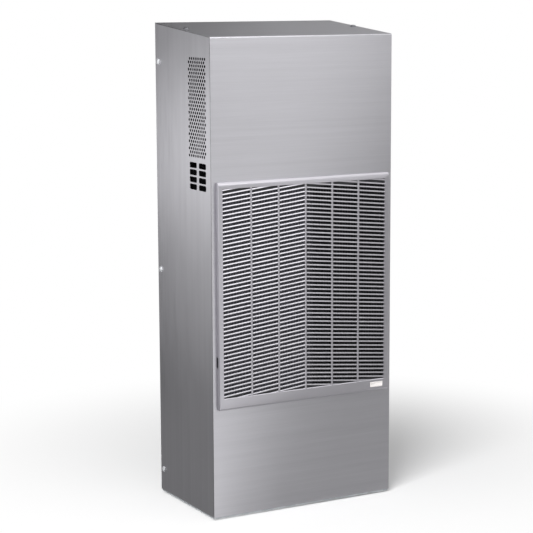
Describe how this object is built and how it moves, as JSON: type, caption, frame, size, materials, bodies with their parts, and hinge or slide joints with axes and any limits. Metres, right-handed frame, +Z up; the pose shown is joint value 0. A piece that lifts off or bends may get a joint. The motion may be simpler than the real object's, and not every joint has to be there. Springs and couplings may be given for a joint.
{
  "type": "enclosure air conditioner",
  "caption": "Tall side-mount enclosure air conditioner in brushed stainless sheet, with a slatted front intake grille, perforated side outlets and rear return and supply openings.",
  "frame": {"origin": "middle of the footprint, on the plane the base stands on", "axes": "+Z up, -Y towards the intake grille, +X to the right when facing the grille"},
  "size_m": [0.3944, 0.238, 0.917],
  "materials": {
    "stainless_sheet": "brushed stainless sheet",
    "zinc_sheet": "galvanised sheet",
    "zinc_fastener": "bright zinc plate",
    "grille_plastic": "moulded, silver grey",
    "badge_plate": "gloss",
    "foam": "closed-cell foam",
    "rubber": "moulded rubber",
    "filter_media": "non-woven",
    "black_plastic": "moulded",
    "fin_aluminium": "mill",
    "spun_steel": "spun",
    "copper": "drawn tube",
    "black_enamel": "enamel",
    "can_aluminium": "drawn can"
  },
  "bodies": {
    "chassis": {"front_cover": "stainless_sheet", "left_side_panel": "stainless_sheet", "right_side_panel": "stainless_sheet", "base_pan": "zinc_sheet", "back_plate": "zinc_sheet", "corner_rails": "zinc_sheet", "partition": "zinc_sheet", "plenum_floor": "zinc_sheet", "condenser_shelf": "zinc_sheet", "condenser_fan_deck": "zinc_sheet", "condenser_end_plates": "zinc_sheet", "evaporator_end_plates": "zinc_sheet", "evaporator_baffle": "zinc_sheet", "condenser_motor_bracket": "zinc_sheet", "control_box": "zinc_sheet", "control_box_lid": "zinc_sheet", "thermostat_cup": "zinc_sheet", "drain_tray": "zinc_sheet", "case_screws": "zinc_fastener", "mounting_inserts": "zinc_fastener", "compressor_bolts": "zinc_fastener", "condenser_fan_standoffs": "zinc_fastener", "mounting_gasket": "foam", "partition_insulation": "foam", "compressor_grommets": "rubber", "line_grommets": "rubber", "compressor_terminal_cover": "black_plastic", "contactor": "black_plastic", "terminal_block": "black_plastic", "power_gland": "black_plastic", "gland_locknut": "black_plastic", "thermostat_body": "black_plastic", "drain_pipe": "black_plastic", "condenser_fins": "fin_aluminium", "evaporator_fins": "fin_aluminium", "condenser_inlet_ring": "spun_steel", "evaporator_inlet_ring": "spun_steel", "condenser_tube": "copper", "evaporator_tube": "copper", "discharge_line": "copper", "liquid_line": "copper", "capillary_tube": "copper", "suction_line": "copper", "filter_drier": "copper", "compressor_shell": "black_enamel", "compressor_foot_plate": "black_enamel", "condenser_motor": "black_enamel", "evaporator_motor": "black_enamel", "run_capacitor": "can_aluminium"},
    "grille": {"front_grille": "grille_plastic", "grille_clips": "grille_plastic", "badge_plate": "badge_plate", "filter_frame": "black_plastic", "filter_media": "filter_media"},
    "condenser_rotor": {"condenser_shaft": "zinc_fastener", "condenser_impeller": "black_plastic"},
    "evaporator_rotor": {"evaporator_shaft": "zinc_fastener", "evaporator_impeller": "black_plastic"},
    "knob": {"thermostat_knob": "black_plastic", "thermostat_spindle": "zinc_fastener"}
  },
  "joints": [
    {"name": "grille_lift", "type": "slide", "parent": "chassis", "child": "grille", "axis": [0, -1, 0], "range_m": [0, 0.06]},
    {"name": "condenser_fan_spin", "type": "hinge", "parent": "chassis", "child": "condenser_rotor", "pos_m": [0, -0.06, 0.763], "axis": [0, 1, 0], "continuous": true},
    {"name": "evaporator_fan_spin", "type": "hinge", "parent": "chassis", "child": "evaporator_rotor", "pos_m": [0, 0.055, 0.763], "axis": [0, 1, 0], "continuous": true},
    {"name": "thermostat_knob_turn", "type": "hinge", "parent": "chassis", "child": "knob", "pos_m": [0.12, 0.106, 0.56], "axis": [0, 1, 0], "range_deg": [-135, 135]}
  ]
}
